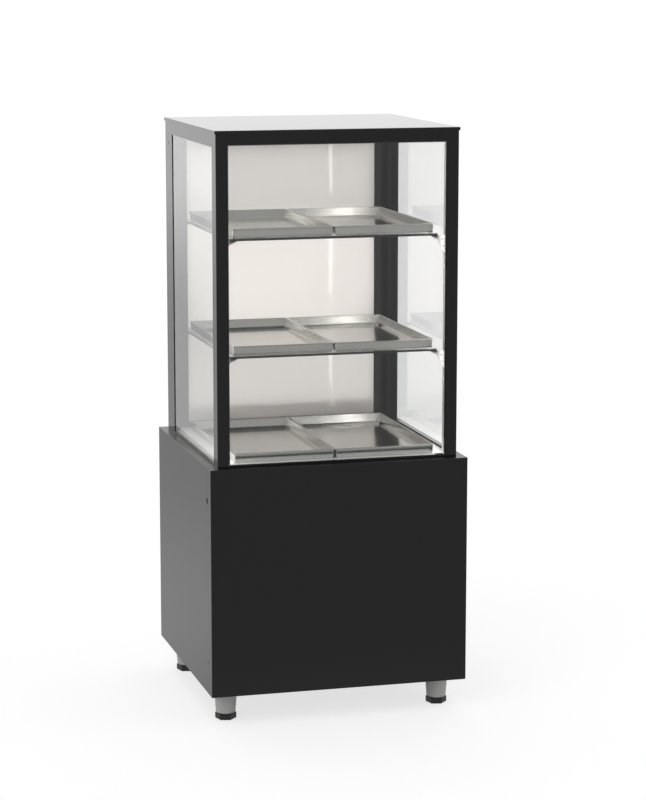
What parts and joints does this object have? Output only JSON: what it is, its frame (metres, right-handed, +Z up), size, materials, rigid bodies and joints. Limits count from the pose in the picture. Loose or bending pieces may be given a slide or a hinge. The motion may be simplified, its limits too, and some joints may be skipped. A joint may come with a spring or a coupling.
{
  "type": "pastry display case",
  "caption": "Free-standing glazed display case on a closed black base, with glass shelves, metal trays, a hinged rear door and levelling feet.",
  "frame": {"origin": "on the floor under the middle of the base", "axes": "+X to the shopper's right, +Y from the shopper's side to the rear door, +Z up"},
  "size_m": [0.6, 0.571, 1.341],
  "materials": {
    "black_paint": "satin black powder coat",
    "black_profile": "semi-gloss black coating",
    "clear_glass": "clear tempered",
    "white_glass": "gloss opal white",
    "white_sheet": "gloss white",
    "satin_steel": "satin",
    "grey_plastic": "satin",
    "black_plastic": "satin",
    "black_rubber": "matt",
    "aluminium": "satin anodised",
    "opal_plastic": "opal",
    "black_screw": "black oxide"
  },
  "bodies": {
    "cabinet": {"base_floor": "black_paint", "base_front_panel": "black_paint", "base_rear_panel": "black_paint", "base_side_left": "black_paint", "base_side_right": "black_paint", "base_top_sheet": "black_paint", "bracket_pads": "black_rubber", "brackets_middle": "satin_steel", "brackets_upper": "satin_steel", "ceiling": "white_sheet", "deck": "white_sheet", "glass_front": "clear_glass", "glass_left": "clear_glass", "glass_right": "clear_glass", "grommet": "black_rubber", "hinge_bushes": "black_plastic", "leg_front_left": "grey_plastic", "leg_front_right": "grey_plastic", "leg_rear_left": "grey_plastic", "leg_rear_right": "grey_plastic", "light_channels": "aluminium", "light_covers": "opal_plastic", "pane_clip": "black_rubber", "post_front_left": "black_profile", "post_front_right": "black_profile", "post_rear_left": "black_profile", "post_rear_right": "black_profile", "rail_bottom_front": "black_profile", "rail_bottom_left": "black_profile", "rail_bottom_rear": "black_profile", "rail_bottom_right": "black_profile", "rail_top_front": "black_profile", "rail_top_left": "black_profile", "rail_top_rear": "black_profile", "rail_top_right": "black_profile", "roof": "black_profile", "screws": "black_screw", "switch_bezel": "black_plastic", "upright_front_left": "satin_steel", "upright_front_right": "satin_steel", "upright_rear_left": "black_profile", "upright_rear_right": "black_profile"},
    "door": {"door_frame": "black_profile", "door_glass": "white_glass", "door_seal": "black_rubber", "door_pins": "satin_steel", "door_pull": "black_profile"},
    "middle_shelf": {"shelf_middle": "clear_glass"},
    "upper_shelf": {"shelf_upper": "clear_glass"},
    "rocker": {"switch_rocker": "black_plastic"},
    "bottom_left_tray": {"tray_bottom_left": "satin_steel"},
    "bottom_right_tray": {"tray_bottom_right": "satin_steel"},
    "middle_left_tray": {"tray_middle_left": "satin_steel"},
    "middle_right_tray": {"tray_middle_right": "satin_steel"},
    "upper_left_tray": {"tray_upper_left": "satin_steel"},
    "upper_right_tray": {"tray_upper_right": "satin_steel"},
    "front_left_foot": {"foot_front_left": "black_plastic"},
    "front_right_foot": {"foot_front_right": "black_plastic"},
    "rear_left_foot": {"foot_rear_left": "black_plastic"},
    "rear_right_foot": {"foot_rear_right": "black_plastic"}
  },
  "joints": [
    {"name": "door_hinge", "type": "hinge", "parent": "cabinet", "child": "door", "pos_m": [-0.261, 0.263, 0.957], "axis": [0, 0, 1], "range_deg": [0, 100]},
    {"name": "middle_shelf_lift", "type": "slide", "parent": "cabinet", "child": "middle_shelf", "axis": [0, 0, 1], "range_m": [0, 0.04]},
    {"name": "upper_shelf_lift", "type": "slide", "parent": "cabinet", "child": "upper_shelf", "axis": [0, 0, 1], "range_m": [0, 0.04]},
    {"name": "light_switch", "type": "hinge", "parent": "cabinet", "child": "rocker", "pos_m": [0.23, 0.279, 0.532], "axis": [1, 0, 0], "range_deg": [0, 16]},
    {"name": "bottom_left_tray_lift", "type": "slide", "parent": "cabinet", "child": "bottom_left_tray", "axis": [0, 0, 1], "range_m": [0, 0.12]},
    {"name": "bottom_right_tray_lift", "type": "slide", "parent": "cabinet", "child": "bottom_right_tray", "axis": [0, 0, 1], "range_m": [0, 0.12]},
    {"name": "middle_left_tray_lift", "type": "slide", "parent": "middle_shelf", "child": "middle_left_tray", "axis": [0, 0, 1], "range_m": [0, 0.12]},
    {"name": "middle_right_tray_lift", "type": "slide", "parent": "middle_shelf", "child": "middle_right_tray", "axis": [0, 0, 1], "range_m": [0, 0.12]},
    {"name": "upper_left_tray_lift", "type": "slide", "parent": "upper_shelf", "child": "upper_left_tray", "axis": [0, 0, 1], "range_m": [0, 0.12]},
    {"name": "upper_right_tray_lift", "type": "slide", "parent": "upper_shelf", "child": "upper_right_tray", "axis": [0, 0, 1], "range_m": [0, 0.12]},
    {"name": "front_left_levelling", "type": "slide", "parent": "cabinet", "child": "front_left_foot", "axis": [0, 0, 1], "range_m": [-0.018, 0]},
    {"name": "front_right_levelling", "type": "slide", "parent": "cabinet", "child": "front_right_foot", "axis": [0, 0, 1], "range_m": [-0.018, 0]},
    {"name": "rear_left_levelling", "type": "slide", "parent": "cabinet", "child": "rear_left_foot", "axis": [0, 0, 1], "range_m": [-0.018, 0]},
    {"name": "rear_right_levelling", "type": "slide", "parent": "cabinet", "child": "rear_right_foot", "axis": [0, 0, 1], "range_m": [-0.018, 0]}
  ]
}
